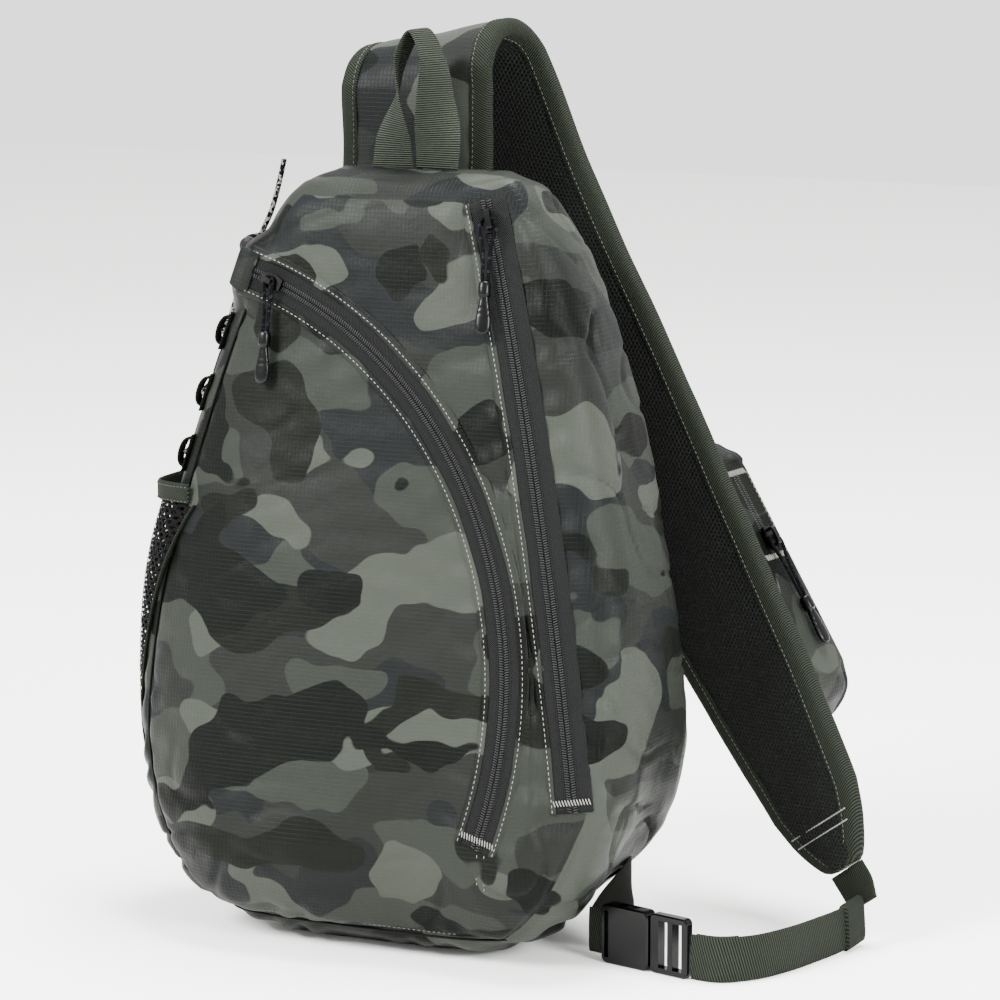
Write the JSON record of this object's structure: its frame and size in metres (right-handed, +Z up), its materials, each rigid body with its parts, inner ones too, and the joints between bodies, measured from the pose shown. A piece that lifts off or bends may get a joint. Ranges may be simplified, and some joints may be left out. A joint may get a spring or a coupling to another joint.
{
  "type": "sling bag",
  "caption": "Camouflage sling bag with two curved zips, a padded strap with its own pocket, side-release buckle, mesh bottle pocket and laced bungee cord.",
  "frame": {"origin": "middle of the flat base, on the floor", "axes": "+Z up, front towards -Y, +X to the right seen from the front"},
  "size_m": [0.4147, 0.23, 0.5007],
  "materials": {
    "camo_fabric": "matte",
    "dark_fabric": "matte",
    "spacer_mesh": "matte",
    "binding_tape": "matte",
    "webbing": "matte",
    "zip_tape": "matte",
    "zip_coil": "satin",
    "moulded_plastic": "gloss",
    "black_cord": "matte",
    "speckled_cord": "matte",
    "foam": "matte",
    "spring_steel": "satin"
  },
  "bodies": {
    "body": {"front_pocket_panel": "camo_fabric", "front_panel": "camo_fabric", "left_gusset": "camo_fabric", "right_gusset": "camo_fabric", "bottom_panel": "camo_fabric", "back_panel": "dark_fabric", "back_pad_foam": "foam", "pocket_divider": "dark_fabric", "front_zip_tape_inner": "zip_tape", "front_zip_tape_outer": "zip_tape", "front_zip_coil": "zip_coil", "main_zip_tape_inner": "zip_tape", "main_zip_tape_outer": "zip_tape", "main_zip_coil": "zip_coil", "lower_webbing": "webbing", "webbing_tail": "webbing", "buckle_sleeve": "moulded_plastic", "buckle_plug": "moulded_plastic", "buckle_webbing": "webbing", "side_wing": "dark_fabric", "bottle_pocket_mesh": "spacer_mesh", "bottle_pocket_binding": "binding_tape", "bungee_cord": "speckled_cord", "cord_tab_1": "webbing", "cord_tab_2": "webbing", "cord_tab_3": "webbing", "cord_tab_4": "webbing", "cord_tab_5": "webbing"},
    "front_slider": {"front_zip_slider": "moulded_plastic"},
    "front_cord": {"front_pull_cord": "black_cord"},
    "front_grip": {"front_pull_grip": "moulded_plastic"},
    "main_slider": {"main_zip_slider": "moulded_plastic"},
    "main_pull": {"main_pull_cord": "black_cord", "main_pull_grip": "moulded_plastic"},
    "strap": {"strap_foam": "foam", "strap_cover": "camo_fabric", "strap_mesh_lining": "spacer_mesh", "strap_binding_left": "binding_tape", "strap_binding_right": "binding_tape", "strap_end_tab": "binding_tape", "strap_pocket": "camo_fabric", "strap_zip_tape_inner": "zip_tape", "strap_zip_tape_outer": "zip_tape", "strap_zip_coil": "zip_coil"},
    "strap_slider": {"strap_zip_slider": "moulded_plastic"},
    "strap_pull": {"strap_pull_cord": "black_cord", "strap_pull_grip": "moulded_plastic"},
    "handle": {"grab_handle": "webbing"},
    "cord_lock": {"cord_lock_barrel": "moulded_plastic", "cord_lock_spring": "spring_steel"},
    "plunger": {"cord_lock_plunger": "moulded_plastic"},
    "prong_upper": {"buckle_prong_upper": "moulded_plastic"},
    "prong_lower": {"buckle_prong_lower": "moulded_plastic"}
  },
  "joints": [
    {"name": "front_zip_travel", "type": "hinge", "parent": "body", "child": "front_slider", "pos_m": [-0.153, -0.07299, 0.139], "axis": [0, -0.9824, 0.1867], "range_deg": [-84, 0]},
    {"name": "front_pull_swing", "type": "hinge", "parent": "front_slider", "child": "front_cord", "pos_m": [-0.07092, -0.0363, 0.36159], "axis": [0, -0.9824, 0.1867], "range_deg": [0, 84]},
    {"name": "front_grip_lift", "type": "hinge", "parent": "front_cord", "child": "front_grip", "pos_m": [-0.07092, -0.04388, 0.33453], "axis": [-1, 0, 0], "range_deg": [0, 90]},
    {"name": "main_zip_travel", "type": "hinge", "parent": "body", "child": "main_slider", "pos_m": [-1.15414, 0.82385, -0.20315], "axis": [-0.5733, -0.8194, 0.0042], "range_deg": [-11.2, 0]},
    {"name": "main_pull_lift", "type": "hinge", "parent": "main_slider", "child": "main_pull", "pos_m": [0.0551, -0.02322, 0.39957], "axis": [-0.9649, -0.2625, 0], "range_deg": [0, 90]},
    {"name": "strap_swing", "type": "hinge", "parent": "body", "child": "strap", "pos_m": [-0.025, 0.055, 0.41], "axis": [1, 0, 0], "range_deg": [0, 10]},
    {"name": "strap_zip_travel", "type": "slide", "parent": "strap", "child": "strap_slider", "axis": [0.5294, -0.0915, -0.8434], "range_m": [-0.034, 0]},
    {"name": "strap_pull_lift", "type": "hinge", "parent": "strap_slider", "child": "strap_pull", "pos_m": [0.16985, 0.10672, 0.21485], "axis": [-0.2316, -0.972, -0.0398], "range_deg": [0, 90]},
    {"name": "handle_fold", "type": "hinge", "parent": "body", "child": "handle", "pos_m": [-0.008, 0.017, 0.421], "axis": [1, 0, 0], "range_deg": [0, 60]},
    {"name": "cord_lock_travel", "type": "slide", "parent": "body", "child": "cord_lock", "axis": [0.4352, 0, 0.9003], "range_m": [-0.008, 0.01]},
    {"name": "plunger_press", "type": "slide", "parent": "cord_lock", "child": "plunger", "axis": [0, 1, 0], "range_m": [0, 0.0024], "stiffness_N_per_m": 300},
    {"name": "prong_upper_press", "type": "hinge", "parent": "body", "child": "prong_upper", "pos_m": [0.15792, -0.03523, 0.0269], "axis": [-0.2571, -0.9664, 0], "range_deg": [0, 6], "stiffness_Nm_per_rad": 0.6},
    {"name": "prong_lower_press", "type": "hinge", "parent": "body", "child": "prong_lower", "pos_m": [0.15792, -0.03523, 0.0061], "axis": [0.2571, 0.9664, 0], "range_deg": [0, 6], "stiffness_Nm_per_rad": 0.6}
  ],
  "couplings": [
    {"joint": "front_pull_swing", "follows": "front_zip_travel", "ratio": -1}
  ]
}
